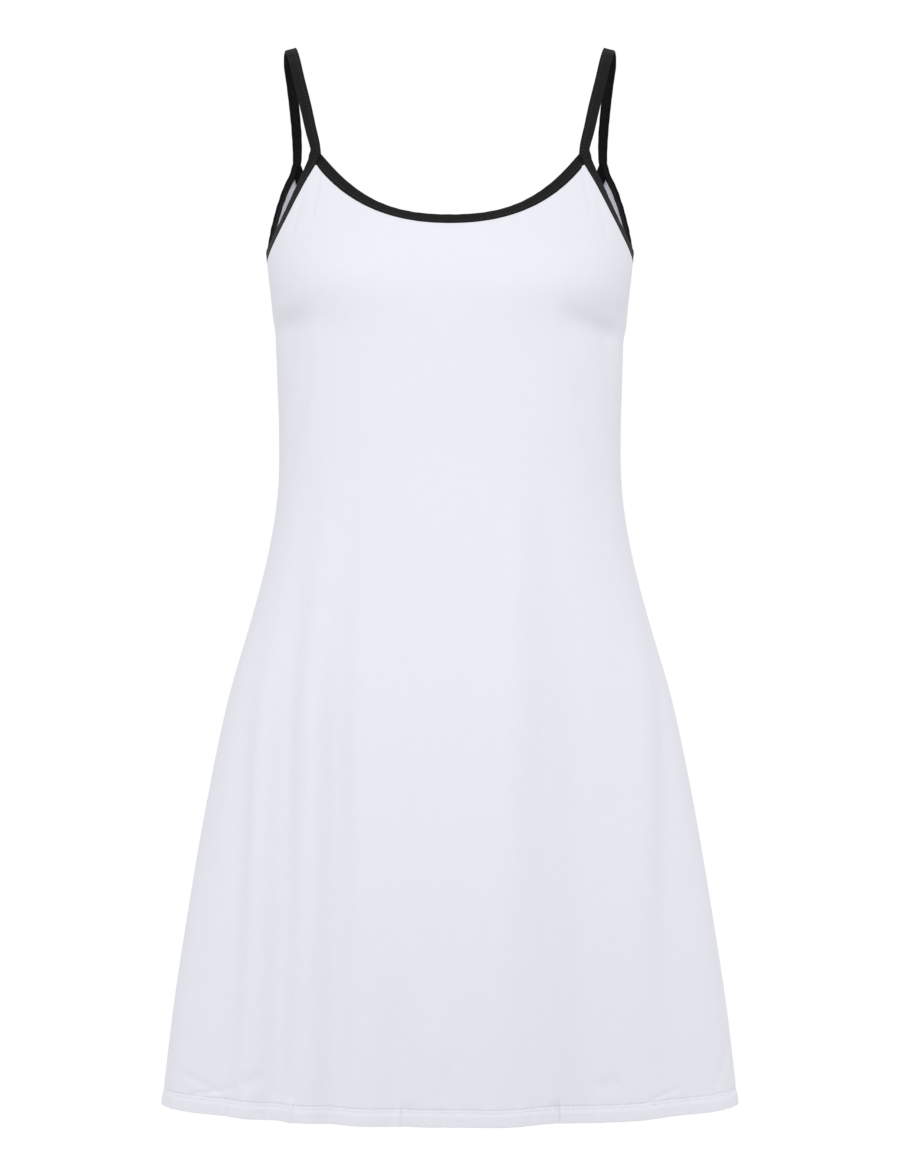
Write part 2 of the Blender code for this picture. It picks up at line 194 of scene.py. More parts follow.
def surface(angle, z, fine_push=None):
    """Points of the dress at angles round it and heights; fine_push adds the small forms."""
    angle, z = np.broadcast_arrays(np.asarray(angle, float), np.asarray(z, float))
    ring = rings_at(z)
    side, ahead = np.sin(angle), np.cos(angle)
    depth = np.where(ahead >= 0, ring.front_depth, ring.back_depth)
    square = np.where(ahead >= 0, ring.front_square, ring.back_square)
    reach = (np.abs(side) ** square + np.abs(ahead) ** square) ** (-1.0 / square)
    x, y = ring.half_width * reach * side, -depth * reach * ahead
    out = np.stack([x / ring.half_width**2, y / depth**2, np.zeros_like(x)], -1)
    out /= np.linalg.norm(out, axis=-1, keepdims=True)
    across = np.degrees(np.arcsin(np.clip(reach * side, -1.0, 1.0)))
    round_dress = np.where(ahead >= 0, across, 180.0 - across)
    push = flute_push(round_dress, z) + fullness_push(x, z, ahead)
    if fine_push is not None:
        push = push + fine_push(x, z)
    return np.stack([x, y, z], -1) + out * push[..., None]


PROBE_ANGLE = math.radians(0.25)
PROBE_HEIGHT = 0.001


def surface_normal(angle, z):
    """The direction that the cloth's outer face looks in."""
    round_it = surface(angle + PROBE_ANGLE, z) - surface(angle - PROBE_ANGLE, z)
    up_it = surface(angle, z + PROBE_HEIGHT) - surface(angle, z - PROBE_HEIGHT)
    normal = np.cross(round_it, up_it)
    return normal / np.linalg.norm(normal, axis=-1, keepdims=True)


print("front centre at the hem:", surface(0.0, HEM_Z).round(4))

# %% [markdown]
# ## The cut of the panels
#
# A panel's upper edge has three parts: an armhole, the neck, and the other armhole. The corner
# between them is where the strap starts. The front neck is a wide scoop, and the back's is deeper.

# %% The upper edge of each panel
Cut = namedtuple("Cut", "corner corner_z neck_z neck_round arm_low arm_high arm_columns neck_columns")
FRONT_CUT = Cut(math.radians(46.3), -0.0946, -0.1431, 0.49, 2.8, 1.2, 10, 26)
BACK_CUT = Cut(math.radians(57.1), -0.0930, -0.1900, 0.35, 1.85, 1.2, 8, 30)
SIDE_SEAM_Z = -0.1653


def neck_edge(cut, share):
    """(angle from the panel's centre, height); share runs from -1 to 1, from corner to corner."""
    angle = share * cut.corner
    across = np.abs(np.sin(angle)) / math.sin(cut.corner)
    rise = cut.neck_round * across**2 + (1.0 - cut.neck_round) * across**3
    return angle, cut.neck_z + (cut.corner_z - cut.neck_z) * rise


def armhole_edge(cut, share):
    """The same for the armhole; share runs from 0 at the side seam to 1 at the corner."""
    angle = math.pi / 2 - share * (math.pi / 2 - cut.corner)
    rise = 1.0 - (1.0 - share**cut.arm_low) ** cut.arm_high
    return angle, SIDE_SEAM_Z + (cut.corner_z - SIDE_SEAM_Z) * rise


def refined(rows, split):
    """A smooth curve through every row given, with split steps from each to the next."""
    last = len(rows) - 1
    return smooth(np.arange(len(rows)), rows, np.linspace(0, last, last * split + 1))


def neck_columns(cut):
    """(angle, height) of each column of the neck edge."""
    return np.stack(neck_edge(cut, np.linspace(-1, 1, cut.neck_columns + 1)), -1)


def armhole_columns(cut):
    """(angle, height) of each column of the armhole, from the side seam up."""
    return np.stack(armhole_edge(cut, np.linspace(0, 1, cut.arm_columns + 1)), -1)


def upper_edge(cut, split):
    """The whole upper edge from side seam to side seam, with split points to each column of the cut."""
    arm, neck = refined(armhole_columns(cut), split), refined(neck_columns(cut), split)
    edge = np.vstack([arm * [-1, 1], neck[1:-1], arm[::-1]])
    return edge[:, 0], edge[:, 1]


print("columns of cloth:", [2 * cut.arm_columns + cut.neck_columns for cut in (FRONT_CUT, BACK_CUT)])

# %% [markdown]
# ## Creases
#
# Besides the large flutes, worn jersey has small creases: drag lines where a strap pulls at its
# corner, soft slanting ones between the bust and the waist, and short sharp ones where the hem was
# folded in the pack. Each is a soft trough with low shoulders along a line, given by its two ends as
# seen from the front or the back.

# %% The creases, as seen from the front and from the back
Crease = namedtuple("Crease", "x0 z0 x1 z1 width depth")
FRONT_CREASES = (
    Crease(-0.1000, -0.104, -0.1050, -0.134, 0.0026, 0.0009),
    Crease(-0.1130, -0.118, -0.1200, -0.146, 0.0030, 0.0007),
    Crease(0.1020, -0.103, 0.1075, -0.130, 0.0026, 0.0008),
    Crease(0.1140, -0.122, 0.1190, -0.150, 0.0030, 0.0006),
    Crease(-0.1080, -0.245, -0.1230, -0.320, 0.0075, 0.0011),
    Crease(0.0960, -0.262, 0.1180, -0.345, 0.0080, 0.0012),
    Crease(-0.0780, -0.230, -0.0740, -0.400, 0.0090, 0.0006),
    Crease(-0.1420, -0.787, -0.1580, -0.795, 0.0065, 0.0008),
    Crease(-0.0020, -0.775, -0.0060, -0.800, 0.0055, 0.0008),
    Crease(0.1120, -0.795, 0.1250, -0.787, 0.0075, 0.0009),
    Crease(0.0690, -0.822, 0.0745, -0.806, 0.0024, 0.0007),
    Crease(0.0560, -0.822, 0.0620, -0.810, 0.0030, 0.0006),
    Crease(-0.2060, -0.790, -0.1780, -0.801, 0.0034, 0.0007),
    Crease(-0.1980, -0.806, -0.1620, -0.797, 0.0026, 0.0006),
    Crease(0.2120, -0.778, 0.2040, -0.802, 0.0050, 0.0006),
    Crease(0.1480, -0.806, 0.1760, -0.799, 0.0024, 0.0005),
)
BACK_CREASES = (
    Crease(-0.1130, -0.105, -0.1060, -0.150, 0.0028, 0.0008),
    Crease(0.1130, -0.105, 0.1070, -0.140, 0.0028, 0.0007),
    Crease(-0.1080, -0.240, -0.1200, -0.330, 0.0080, 0.0012),
    Crease(0.1020, -0.250, 0.1180, -0.320, 0.0080, 0.0011),
    Crease(-0.0500, -0.300, 0.0200, -0.325, 0.0090, 0.0009),
    Crease(0.0500, -0.285, -0.0100, -0.300, 0.0090, 0.0008),
    Crease(0.0960, -0.790, 0.1060, -0.798, 0.0045, 0.0009),
    Crease(-0.0560, -0.786, -0.0640, -0.780, 0.0055, 0.0008),
    Crease(0.1500, -0.800, 0.1750, -0.806, 0.0025, 0.0006),
)


CREASE_END = 3.0


def crease_push_of(creases):
    """A function that adds up the creases at points seen at x and z."""

    def push(x, z):
        total = np.zeros_like(z)
        for crease in creases:
            run = np.array([crease.x1 - crease.x0, crease.z1 - crease.z0])
            length = np.hypot(*run)
            along = ((x - crease.x0) * run[0] + (z - crease.z0) * run[1]) / length**2
            off = ((x - crease.x0) * run[1] - (z - crease.z0) * run[0]) / length / crease.width
            fade = eased(CREASE_END * along + 0.5) * eased(CREASE_END * (1.0 - along) + 0.5)
            total -= crease.depth * fade * (1.0 - off**2) * np.exp(-(off**2))
        return total

    return push


# %% [markdown]
# Under the bust the cloth falls in towards the waist in a tuck at each side. It starts from nothing
# below the bust, gets deeper towards the side, and comes back out slowly below. At the side seam about
# a fifth of it is left, which the back panel shares. The wearer's left side has the deeper one.

# %% The tucks under the bust
Tuck = namedtuple("Tuck", "side x_start x_full z_start z_full depth")
TUCKS = (
    Tuck(1, 0.0800, 0.1340, -0.205, -0.2210, 0.0102),
    Tuck(-1, 0.1020, 0.1340, -0.204, -0.2140, 0.0068),
)
TUCK_DROP = 0.018
TUCK_RETURN = 0.040
TUCK_AT_SIDE = 0.18
TUCK_FADE = 0.10


def tuck_push_of(forward):
    """A function that adds up the tucks at points seen at x and z; the back has their ends only."""

    def push(x, z):
        total = np.zeros_like(z)
        for tuck in TUCKS:
            across = tuck.side * x
            share = np.clip((across - tuck.x_start) / (tuck.x_full - tuck.x_start), 0.0, 1.0)
            below = tuck.z_start + (tuck.z_full - tuck.z_start) * share - z
            sink = eased(below / TUCK_DROP + 0.5) * np.exp(-np.maximum(below, 0.0) / TUCK_RETURN)
            from_side = eased((1.0 - across / rings_at(z).half_width) / TUCK_FADE)
            whole = from_side if forward < 0 else 0.0
            total -= tuck.depth * share * sink * (TUCK_AT_SIDE * (1.0 - from_side) + whole)
        return total

    return push


print(len(TUCKS), "tucks, up to", max(tuck.depth for tuck in TUCKS) * 1000, "mm deep")

# %% [markdown]
# The hem was also pressed in sharp folds. The cloth on one side of such a fold swells or sinks towards
# it, and steps back at the fold itself, which is what shows as a thin line down the hem band.

# %% The pressed folds of the hem
Fold = namedtuple("Fold", "x side reach depth")
FRONT_FOLDS = (
    Fold(-0.1170, -1, 0.010, 0.0020),
    Fold(-0.0370, 1, 0.010, -0.0012),
    Fold(0.0842, -1, 0.008, -0.0011),
)
BACK_FOLDS = (
    Fold(-0.0920, 1, 0.013, -0.0017),
    Fold(0.0610, -1, 0.010, 0.0017),
)
FOLD_TOP = 0.020
FOLD_BAND = 0.012
FOLD_STEP = 0.0004


def fold_push_of(folds):
    """A function that adds up the folds at points seen at x, up from the hem's edge."""

    def push(x, up):
        total = np.zeros_like(x)
        for fold in folds:
            off = (x - fold.x) * fold.side
            swell = fold.depth * np.exp(-np.maximum(off, 0.0) / fold.reach)
            total += swell * (1.0 + np.tanh(off / FOLD_STEP)) / 2
        return total * eased((FOLD_TOP - up) / (FOLD_TOP - FOLD_BAND))

    return push


print(len(FRONT_CREASES) + len(BACK_CREASES), "creases")
print(len(FRONT_FOLDS) + len(BACK_FOLDS), "pressed folds")

# %% [markdown]
# ## A sheet of cloth
#
# A panel starts as a flat grid, like cloth on the cutting table, and every point of the grid is
# then moved to its place on the dress. One grid for a panel keeps the knit running down it, and lets
# the cloth turn at its edges as it does in a sewing room: the top edge goes 1.5 mm into the binding,
# the sides turn in as seam allowances, and the hem folds up inside.
#
# The hem is sewn with a twin needle. Its two rows of stitches pull small grooves into the cloth,
# and the doubled band below them puffs out a little and puckers. The folded layer behind it follows
# the outer one, so that neither pokes through the other.

# %% Sizes of the turned edges
COLUMN_SPLIT = 6
COLUMN_CROWD = 5.0
CROWD_REACH = math.radians(1.1)
BODY_ROWS = 240
HEM_ROWS = 40
HEM_BAND = 0.0185
EDGE_REACH = 0.0015
EDGE_SINK = 0.0009
SEAM_TURN = 0.0045
SEAM_GAP = 0.0002
SEAM_ROLL = 0.0030
SEAM_DIP = 0.0009
HEM_RADIUS = 0.18
HEM_PUFF = 0.0005
PUFF_RISE = 0.003
STITCH_ROWS = (0.0100, 0.0123)
STITCH_GROOVE = 0.0008
GROOVE_DEPTHS = (0.0003, 0.0006)
PUCKER_DEPTH = 0.00030
PUCKER_FADE = 0.005
EDGE_ROUND = 0.4
# How far up from the edge and how far in each row of the folded hem lies.
HEM_FOLD = ((0.0000, 0.0003), (0.0006, 0.0012), (0.0040, 0.0014), (0.0080, 0.0014), (0.0120, 0.0012))


def hem_push(angle, up):
    """The hem's puffed band, the grooves of its stitch rows and their puckers; up is from the edge."""
    push = HEM_PUFF * eased((STITCH_ROWS[0] - up) / PUFF_RISE)
    for row, depth in zip(STITCH_ROWS, GROOVE_DEPTHS):
        push -= depth * np.exp(-(((up - row) / STITCH_GROOVE) ** 2))
    # Whole numbers of waves round the dress, so that the puckers meet at the side seams.
    waves = np.sin(angle * 61) + 0.8 * np.sin(angle * 109 + 1.0)
    waves = waves + 0.7 * np.sin(angle * 162 + 0.4) * np.sin(angle * 18)
    fade = np.exp(-((np.maximum(up - STITCH_ROWS[0], 0.0) / PUCKER_FADE) ** 2))
    return push + PUCKER_DEPTH * waves * fade


def crowded(angles, places):
    """The same number of angles, with more of them at the places, so that a fold can be sharp."""
    across = surface(angles, HEM_Z)[:, 0]
    density = np.ones_like(angles)
    for place in places:
        away = (angles - np.interp(place, across, angles)) / CROWD_REACH
        density += COLUMN_CROWD * np.exp(-(away**2))
    total = np.concatenate([[0.0], np.cumsum((density[1:] + density[:-1]) / 2)])
    return np.interp(np.linspace(0, total[-1], len(angles)), total, angles)


print("stitch rows above the hem's edge:", STITCH_ROWS)

# %% [markdown]
# The UV map holds real distances: how far a point is from the middle along its own row, and how far
# it is up its own column. So a knit drawn on it keeps its true size along both. It leans with the
# rows where they slope, below the neck and the armholes.


# %% Make a panel
def grid_piece(name, columns, rows):
    """A flat grid of that many columns and rows, and each point's column and row in it."""
    bpy.ops.object.select_all(action="DESELECT")
    bpy.ops.mesh.primitive_grid_add(x_subdivisions=columns, y_subdivisions=rows, size=1.0)
    piece = bpy.context.object
    piece.name = piece.data.name = name
    flat = np.empty(len(piece.data.vertices) * 3)
    piece.data.vertices.foreach_get("co", flat)
    flat = flat.reshape(-1, 3)
    column = np.rint((flat[:, 0] + 0.5) * columns).astype(int)
    row = np.rint((0.5 - flat[:, 1]) * rows).astype(int)
    return piece, column, row


def place_points(piece, places, flat_across, flat_down, column, row):
    """Moves the grid's points to places[row, column], and gives each its flat distances as UV."""
    piece.data.vertices.foreach_set("co", places[row, column].ravel())
    corners = np.empty(len(piece.data.loops), int)
    piece.data.loops.foreach_get("vertex_index", corners)
    laid = np.stack([flat_across[row, column], flat_down[row, column]], -1)
    piece.data.uv_layers[0].data.foreach_set("uv", laid[corners].ravel())
    piece.data.shade_smooth()
    piece.data.update()


def laid_flat(places):
    """Each point's distance along its row from the middle, and up its column from the last row."""
    across = np.linalg.norm(np.diff(places, axis=1), axis=-1)
    across = np.concatenate([np.zeros((len(places), 1)), np.cumsum(across, axis=1)], axis=1)
    down = np.linalg.norm(np.diff(places, axis=0), axis=-1)
    down = np.concatenate([np.zeros((1, places.shape[1])), np.cumsum(down, axis=0)], axis=0)
    return across - across[:, [places.shape[1] // 2]], down[-1:] - down


def cloth_area(places):
    """The area of a grid of points."""
    across, down = np.diff(places, axis=1)[:-1], np.diff(places, axis=0)[:, :-1]
    return float(np.linalg.norm(np.cross(across, down), axis=-1).sum())


def all_push_of(half, angle, from_middle):
    """The push of all that a panel's cloth shows at those angles; from_middle is theirs at the hem."""
    crease_push, fold_push = crease_push_of(half.creases), fold_push_of(half.folds)
    tuck_push = tuck_push_of(half.forward)
    from_seam = (math.pi / 2 - np.abs(from_middle)) * HEM_RADIUS
    roll = -SEAM_DIP * np.exp(-((from_seam / SEAM_ROLL) ** 2))

    def push(x, z):
        up = z - HEM_Z
        return crease_push(x, z) + tuck_push(x, z) + fold_push(x, up) + hem_push(angle, up) + roll

    return push


def folded_hem(half, from_middle):
    """The rows of points round the hem's fold and up behind the cloth."""
    angle, rows = half.centre + from_middle, []
    for up, inward in HEM_FOLD:
        z = np.full_like(angle, HEM_Z + up)
        outer = surface(angle, z, all_push_of(half, angle, from_middle))
        rows.append(outer - surface_normal(angle, z) * inward)
    return np.array(rows)


def make_panel(half):
    """One panel of cloth, with its turned edges."""
    top_angle, top_z = upper_edge(half.cut, COLUMN_SPLIT)
    hem_angle = np.linspace(-math.pi / 2, math.pi / 2, len(top_angle))
    hem_angle = crowded(hem_angle, [-half.forward * fold.x for fold in half.folds])
    band_share = 1.0 - HEM_BAND / (np.mean(top_z) - HEM_Z)
    share = np.linspace(0, band_share, BODY_ROWS, endpoint=False)
    share = np.append(share, np.linspace(band_share, 1, HEM_ROWS + 1))[:, None]
    z = top_z + (HEM_Z - top_z) * share
    angle = half.centre + top_angle + (hem_angle - top_angle) * share
    body = surface(angle, z, all_push_of(half, angle, hem_angle))
    body[-1] = body[-2] * EDGE_ROUND + body[-1] * (1.0 - EDGE_ROUND)
    hidden_edge = body[0] + into_binding(half.cut, half.centre, COLUMN_SPLIT)
    places = np.concatenate([hidden_edge[None], body, folded_hem(half, hem_angle)])
    seam_y = half.forward * SEAM_GAP / 2
    places[:, [0, -1], 1] = seam_y
    for column, side in ((0, -1), (-1, 1)):
        inward = np.array([math.copysign(1.0, -places[-1, column, 0]), 0.0, 0.0])
        places[:, column] = places[:, column - side] * [1, 0, 1] + [0, seam_y, 0]
        places[:, column] += inward * SEAM_TURN
        places[:, column - side, 1] = seam_y
    piece, column, row = grid_piece(half.name, places.shape[1] - 1, places.shape[0] - 1)
    across, down = laid_flat(places)
    place_points(piece, places, across, down, column, row)
    return piece, cloth_area(places), (float(np.ptp(across)), float(down.max()))


def into_binding(cut, centre_angle, split):
    """The step from each point of the upper edge to where the cloth ends inside its binding."""
    angle, z = upper_edge(cut, split)
    edge, face = surface(centre_angle + angle, z), surface_normal(centre_angle + angle, z)
    beyond = np.cross(face, np.gradient(edge, axis=0))
    beyond *= np.sign(beyond[:, 2:]) / np.linalg.norm(beyond, axis=-1, keepdims=True)
    return beyond * EDGE_REACH - face * EDGE_SINK


# The centre is the angle of a panel's middle; forward is -1 for the front and 1 for the back.
Half = namedtuple("Half", "name cut centre forward creases folds")
FRONT = Half("front_cloth", FRONT_CUT, 0.0, -1, FRONT_CREASES, FRONT_FOLDS)
BACK = Half("back_cloth", BACK_CUT, math.pi, 1, BACK_CREASES, BACK_FOLDS)
front, front_area, front_flat = make_panel(FRONT)
back, back_area, back_flat = make_panel(BACK)
for piece, area, flat in ((front, front_area, front_flat), (back, back_area, back_flat)):
    size = [round(length, 3) for length in flat]
    print(piece.name, len(piece.data.polygons), "faces,", round(area, 4), "m2 of", size)

# %% [markdown]
# ## The binding and the straps
#
# Each strip is a tape folded over the cloth's raw edge and sewn down, so it is thicker than the cloth
# and round at its folds. It is swept along a path of stations. A station holds the strip's centre,
# the direction across it, away from the cloth, and the direction that its face looks in. Tape that
# is stretched on as it is sewn tips in towards the body, and the stations do the same.

# %% Sizes of the strips
STRIP_WIDTH = 0.0085
STRIP_THICK = 0.0022
CLOTH_WALL = 0.0014
BINDING_GAP = 0.0004
STRIP_END_GAP = 0.0003
NECK_TIP = math.radians(18)
FRONT_ARM_TIP = math.radians(14)
BACK_ARM_TIP = math.radians(20)
BACK_ARM_OVER = 0.0013
BACK_CORNER_IN = 0.0016
TIP_FULL = 0.9
TIP_FADE = 0.12
CORNER_RUN = 0.0100
FRONT_CORNER_TURN = 0.35
BACK_CORNER_TURN = 0.80
FINE_STEP = 0.0011

StrapPoint = namedtuple("StrapPoint", "x y z lean")
STRAP_ROUTE = (
    StrapPoint(0.1073, -0.0465, -0.0640, 18),
    StrapPoint(0.1114, -0.0390, -0.0460, 12),
    StrapPoint(0.1167, -0.0285, -0.0250, 12),
    StrapPoint(0.1208, -0.0160, -0.0080, 14),
    StrapPoint(0.1243, 0.0000, 0.0011, 18),
    StrapPoint(0.1260, 0.0150, -0.0070, 28),
    StrapPoint(0.1243, 0.0270, -0.0240, 38),
    StrapPoint(0.1221, 0.0360, -0.0460, 40),
    StrapPoint(0.1209, 0.0420, -0.0640, 40),
)
SHOULDER_AXIS = np.array([0.0, -0.004, -0.060])
Path = namedtuple("Path", "centre across out")


def unit(rows):
    """Each row scaled to length 1."""
    return rows / np.linalg.norm(rows, axis=-1, keepdims=True)


print("strip", STRIP_WIDTH * 1000, "mm wide, strap of", len(STRAP_ROUTE), "points")


# %% Paths along the edges and over the shoulders
def runs(points):
    """The direction of a line of points at each of them."""
    return unit(np.vstack([points[1] - points[0], points[2:] - points[:-2], points[-1] - points[-2]]))


def edge_path(angle, z, tip):
    """A strip's path beyond an edge of cloth, tipped in towards the body by tip."""
    edge, face = surface(angle, z), surface_normal(angle, z)
    beyond = unit(np.cross(face, runs(edge)))
    beyond *= np.sign(beyond[:, 2:])
    tip = np.broadcast_to(tip, angle.shape)[:, None]
    across = beyond * np.cos(tip) - face * np.sin(tip)
    out = face * np.cos(tip) + beyond * np.sin(tip)
    return Path(edge - face * (CLOTH_WALL / 2) + across * (BINDING_GAP + STRIP_WIDTH / 2), across, out)


def strap_face(strap, side):
    """The direction that a strap's face looks in, away from the shoulder and leaning to the side."""
    lean = math.radians(strap.lean)
    outward = unit((np.array([0.0, strap.y, strap.z]) - SHOULDER_AXIS) * [0, 1, 1])
    return outward * math.cos(lean) + np.array([side * math.sin(lean), 0, 0])


def past_corner(corner, near, strap, side, turn):
    """The station beyond a corner of an armhole, turned by a share of the way to the strap's run."""
    strap_start = np.array([side * strap.x, strap.y, strap.z])
    run = (1 - turn) * unit(corner[0] - near[0]) + turn * unit(strap_start - corner[0])
    run = unit(run)
    out = corner[2] + strap_face(strap, side)
    out = unit(out - run * (out @ run))
    across = np.cross(out, run)
    across *= np.sign(across @ corner[1])
    return corner[0] + run * CORNER_RUN, across, out


def armhole_path(side):
    """The strip's path round one armhole from past the front corner to past the back one."""
    front_share = np.linspace(1, 0, FRONT_CUT.arm_columns + 1)
    back_share = np.linspace(0, 1, BACK_CUT.arm_columns + 1)[1:]
    front, back = armhole_columns(FRONT_CUT)[::-1], armhole_columns(BACK_CUT)[1:]
    angle = np.concatenate([side * front[:, 0], side * (math.pi - back[:, 0])])
    front_tip = FRONT_ARM_TIP * eased(front_share / TIP_FULL) * eased((1.0 - front_share) / TIP_FADE)
    tip = np.concatenate([front_tip, BACK_ARM_TIP * back_share**2])
    path = edge_path(angle, np.concatenate([front[:, 1], back[:, 1]]), tip)
    over = np.concatenate([0.0 * front_share, BACK_ARM_OVER * eased(back_share / TIP_FADE)])
    path = path._replace(centre=path.centre - path.across * over[:, None])
    rows = list(zip(*path))
    first = past_corner(rows[0], rows[1], STRAP_ROUTE[0], side, FRONT_CORNER_TURN)
    last = past_corner(rows[-1], rows[-2], STRAP_ROUTE[-1], side, BACK_CORNER_TURN)
    last = (last[0] - np.array([side * BACK_CORNER_IN, 0.0, 0.0]), *last[1:])
    first_half = [(a + b) / 2 for a, b in zip(first, rows[0])]
    last_half = [(a + b) / 2 for a, b in zip(rows[-1], last)]
    return Path(*(np.array(part) for part in zip(first, first_half, *rows, last_half, last)))


def strap_path(side, armhole):
    """The strap's path from the back corner over the shoulder to the front corner."""
    points = np.array([[side * row.x, row.y, row.z] for row in STRAP_ROUTE[::-1]])
    run = runs(np.vstack([armhole.centre[-1], points, armhole.centre[0]]))[1:-1]
    out = np.array([strap_face(row, side) for row in STRAP_ROUTE[::-1]])
    out = unit(out - run * (out * run).sum(-1, keepdims=True))
    across = unit(np.cross(out, run))
    across *= np.sign(across[:, :1] * side)
    return Path(points, across, out)


def finer(path, closed):
    """The same path with a station every FINE_STEP, on smooth curves."""
    if closed:
        path = Path(*(np.vstack([rows[-3:], rows, rows[:3]]) for rows in path))
    steps = np.linalg.norm(np.diff(path.centre, axis=0), axis=-1)
    knots = np.concatenate([[0.0], np.cumsum(steps)])
    first, last = (knots[3], knots[-3]) if closed else (0.0, knots[-1])
    count = round((last - first) / FINE_STEP)
    at = np.linspace(first, last, count, endpoint=not closed)
    centre, across, out = (smooth(knots, rows, at) for rows in path)
    out = unit(out)
    return Path(centre, unit(across - out * (across * out).sum(-1, keepdims=True)), out)


def ring_path(side):
    """The closed path of one strip: round the armhole, then over the shoulder."""
    armhole = armhole_path(side)
    return finer(Path(*(np.vstack(pair) for pair in zip(armhole, strap_path(side, armhole)))), True)


print("left strip's path:", len(ring_path(1).centre), "stations")

# %% [markdown]
# A strip's section is a flattened round. It is 9 mm wide, half a millimetre wider than the solid,
# because tipped tape looks narrower from the front. Sewing pulls the tape in along its stitches, so
# the face dips at the stitch line and the folds on both sides of it stay full. Small waves along the
# strip keep it from looking like moulded plastic.

# %% Sweep a strip
SECTION_POINTS = 24
SECTION_SQUARE = 6.0
SHOWN_WIDTH = 0.0090
STITCH_ACROSS = -0.0019
STITCH_DIP = 0.00022
DIP_SPREAD = 0.0012
EDGE_WAVE = 0.00012
WAVE_LENGTHS = (0.011, 0.0173)


def strip_section():
    """The strip's section: offsets across and out, and how near each point is to the stitch line."""
    turn = np.linspace(0, 2 * math.pi, SECTION_POINTS, endpoint=False) + math.pi / SECTION_POINTS
    c, s = np.cos(turn), np.sin(turn)
    across = np.sign(c) * np.abs(c) ** (2 / SECTION_SQUARE) * SHOWN_WIDTH / 2
    out = np.sign(s) * np.abs(s) ** (2 / SECTION_SQUARE) * STRIP_THICK / 2
    out -= np.sign(out) * STITCH_DIP * np.exp(-(((across - STITCH_ACROSS) / DIP_SPREAD) ** 2))
    return across, out


def lengths_along(points, closed):
    """Each point's distance along a line of points, and the whole length."""
    if closed:
        points = np.vstack([points, points[:1]])
    steps = np.linalg.norm(np.diff(points, axis=0), axis=-1)
    total = np.concatenate([[0.0], np.cumsum(steps)])
    return (total[:-1] if closed else total), float(total[-1])


def sweep(name, path, closed, end_planes=()):
    """A strip along a path, and its length; end_planes cut its two ends on a slant."""
    across, out = strip_section()
    distance, length = lengths_along(path.centre, closed)
    short, long = (distance * 2 * math.pi / step for step in WAVE_LENGTHS)
    wave = np.sin(short) + 0.6 * np.sin(long + 1.0)
    swell = 1.0 + (EDGE_WAVE / STRIP_THICK * 2) * wave[:, None]
    rings = path.centre[:, None] + path.across[:, None] * across[None, :, None]
    rings = rings + path.out[:, None] * (out * swell)[:, :, None]
    if end_planes:
        direction = runs(path.centre)
        for end, (point, normal) in zip((0, -1), end_planes):
            run = direction[end]
            rings[end] += run * (((point - rings[end]) @ normal) / (run @ normal))[:, None]
    if closed:
        rings = np.concatenate([rings, rings[:1]])
        distance = np.append(distance, length)
    places = np.concatenate([rings, rings[:, :1]], axis=1)
    piece, column, row = grid_piece(name, SECTION_POINTS, len(places) - 1)
    around = lengths_along(np.stack([across, out], -1), True)
    flat_across = np.broadcast_to(np.append(around[0], around[1]), places.shape[:2])
    flat_down = np.broadcast_to(distance[:, None], places.shape[:2])
    place_points(piece, places, flat_across, flat_down, column, row)
    close_strip(piece, closed)
    return piece, length


def close_strip(piece, closed):
    """Joins the strip's long seam, closes its ends and turns its faces outwards."""
    bpy.context.view_layer.objects.active = piece
    bpy.ops.object.mode_set(mode="EDIT")
    bpy.ops.mesh.select_all(action="SELECT")
    bpy.ops.mesh.remove_doubles(threshold=0.00001)
    if not closed:
        bpy.ops.mesh.select_all(action="DESELECT")
        bpy.ops.mesh.select_non_manifold()
        bpy.ops.mesh.edge_face_add()
    bpy.ops.mesh.select_all(action="SELECT")
    bpy.ops.mesh.normals_make_consistent(inside=False)
    bpy.ops.object.mode_set(mode="OBJECT")


strips = {}
lengths = {}
paths = {}
for name, side in (("left_strap_strip", 1), ("right_strap_strip", -1)):
    paths[name] = ring_path(side)
    strips[name], lengths[name] = sweep(name, paths[name], True)
    print(name, round(lengths[name], 4), "m long")

# %% [markdown]
# The neck strips are sewn on first, and their ends are caught under the strap strips. Each end is cut
# on the slant of the strap strip that it meets.


# %% The neck strips
NECK_UNDER = 0.0014
NECK_SINK = 0.0007
NECK_SINK_RUN = 0.010


def neck_path(cut, centre_angle):
    """The path of a neck strip from corner to corner; its ends sink in to go under the strap strips."""
    columns = neck_columns(cut)
    path = finer(edge_path(centre_angle + columns[:, 0], columns[:, 1], NECK_TIP), False)
    distance, length = lengths_along(path.centre, False)
    near_end = eased(1.0 - np.minimum(distance, length - distance) / NECK_SINK_RUN)
    return path._replace(centre=path.centre - path.out * (NECK_SINK * near_end)[:, None])


def end_plane(side, at_front):
    """A point and a normal of the strap strip's inner side where a neck strip meets it."""
    armhole = armhole_path(side)
    corner, beyond = (2, 0) if at_front else (-3, -1)
    reach = STRIP_WIDTH / 2 + STRIP_END_GAP / 3 - NECK_UNDER
    low, high = (armhole.centre[k] - armhole.across[k] * reach for k in (corner, beyond))
    normal = unit(np.cross(high - low, armhole.out[corner] + armhole.out[beyond]))
    return low, normal * np.sign(normal @ armhole.across[corner])


for name, half in (("front_neck_strip", FRONT), ("back_neck_strip", BACK)):
    at_front = half is FRONT
    sides = (-1, 1) if at_front else (1, -1)
    paths[name] = neck_path(half.cut, half.centre)
    planes = [end_plane(side, at_front) for side in sides]
    strips[name], lengths[name] = sweep(name, paths[name], False, planes)
    print(name, round(lengths[name], 4), "m long")

# %% [markdown]
# ## Stitches
#
# A stitch is modelled once, as a short bead of thread that dips into the cloth at both ends. Copies
# of it are then set along each seam, joined in one mesh for each row, because hundreds of separate
# objects would only slow the scene down.

